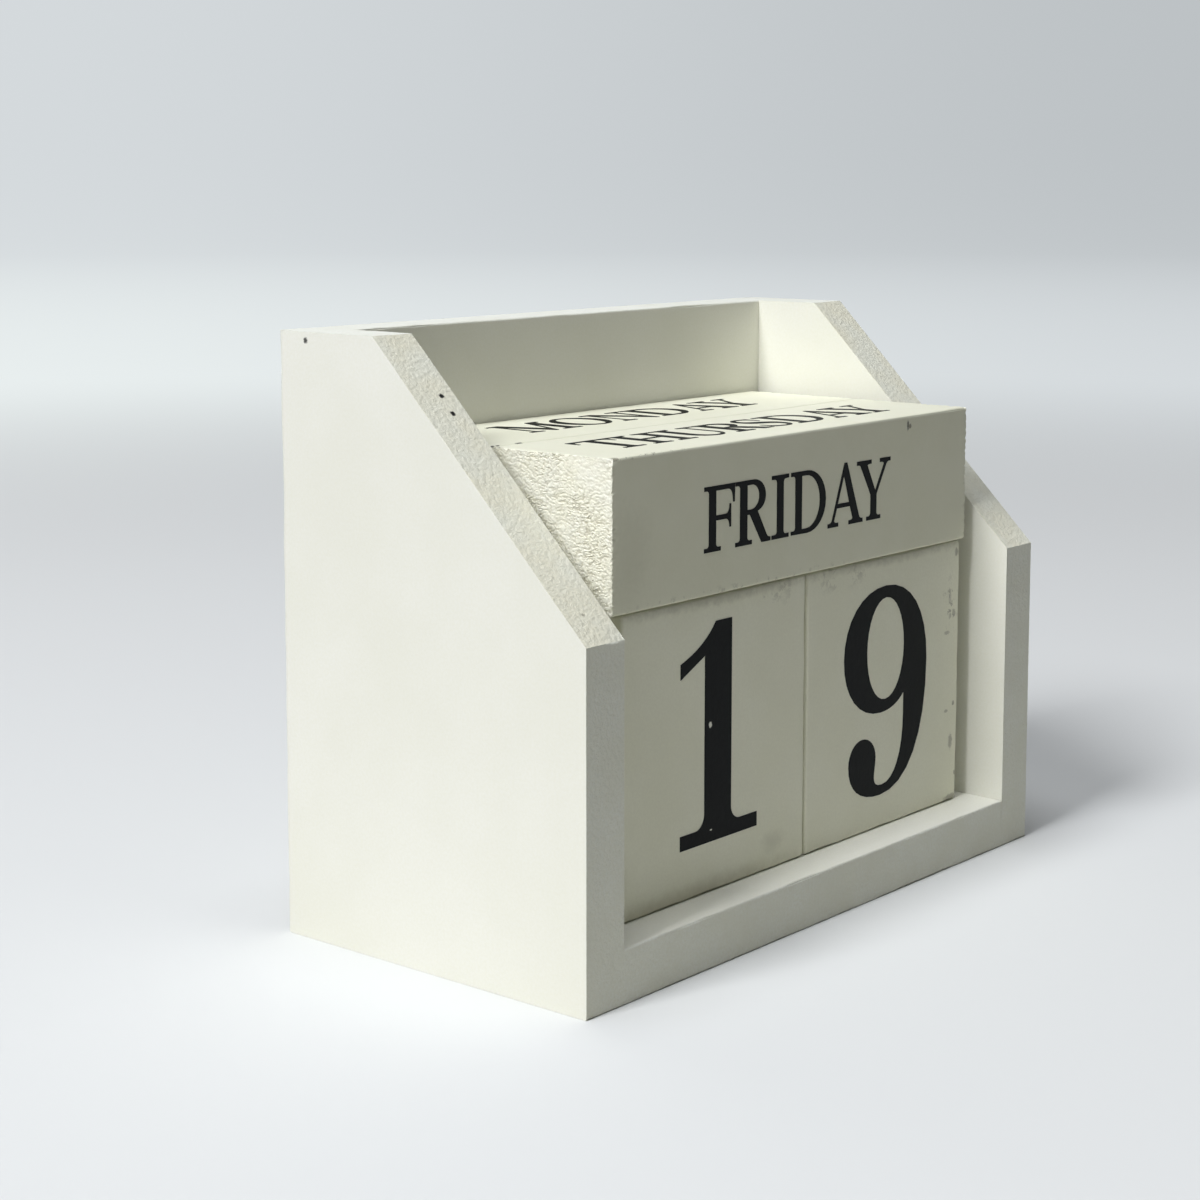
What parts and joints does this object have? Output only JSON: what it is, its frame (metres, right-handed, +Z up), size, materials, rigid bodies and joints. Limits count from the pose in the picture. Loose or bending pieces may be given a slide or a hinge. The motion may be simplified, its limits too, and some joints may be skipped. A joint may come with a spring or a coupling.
{
  "type": "perpetual desk calendar",
  "caption": "Open painted wooden holder with sloped sides that holds number blocks side by side and square weekday bars on top of them.",
  "frame": {"origin": "middle of the underside, on the surface that the holder stands on", "axes": "+X to the right seen from the front, -Y towards the front, +Z up"},
  "size_m": [0.131, 0.067, 0.102],
  "materials": {
    "holder_paint": "satin cream-white paint over fibreboard",
    "block_paint": "satin cream-white paint with rub marks",
    "bar_paint": "satin cream-white paint, rough where sawn across",
    "black_paint": "satin black screen-printed paint",
    "brad_steel": "bright drawn steel"
  },
  "bodies": {
    "holder": {"left_side": "holder_paint", "right_side": "holder_paint", "back_panel": "holder_paint", "base_panel": "holder_paint", "left_side_brads": "brad_steel", "right_side_brads": "brad_steel", "back_brads": "brad_steel"},
    "left_block": {"left_number_block": "block_paint"},
    "right_block": {"right_number_block": "block_paint"},
    "front_bar": {"front_weekday_bar": "bar_paint"},
    "rear_bar": {"rear_weekday_bar": "bar_paint"}
  },
  "joints": [
    {"name": "left_block_slide", "type": "slide", "parent": "holder", "child": "left_block", "axis": [0, -1, 0], "range_m": [0, 0.06]},
    {"name": "right_block_slide", "type": "slide", "parent": "holder", "child": "right_block", "axis": [0, -1, 0], "range_m": [0, 0.06]},
    {"name": "front_bar_lift", "type": "slide", "parent": "holder", "child": "front_bar", "axis": [0, 0, 1], "range_m": [0, 0.05]},
    {"name": "rear_bar_lift", "type": "slide", "parent": "holder", "child": "rear_bar", "axis": [0, 0, 1], "range_m": [0, 0.05]}
  ]
}
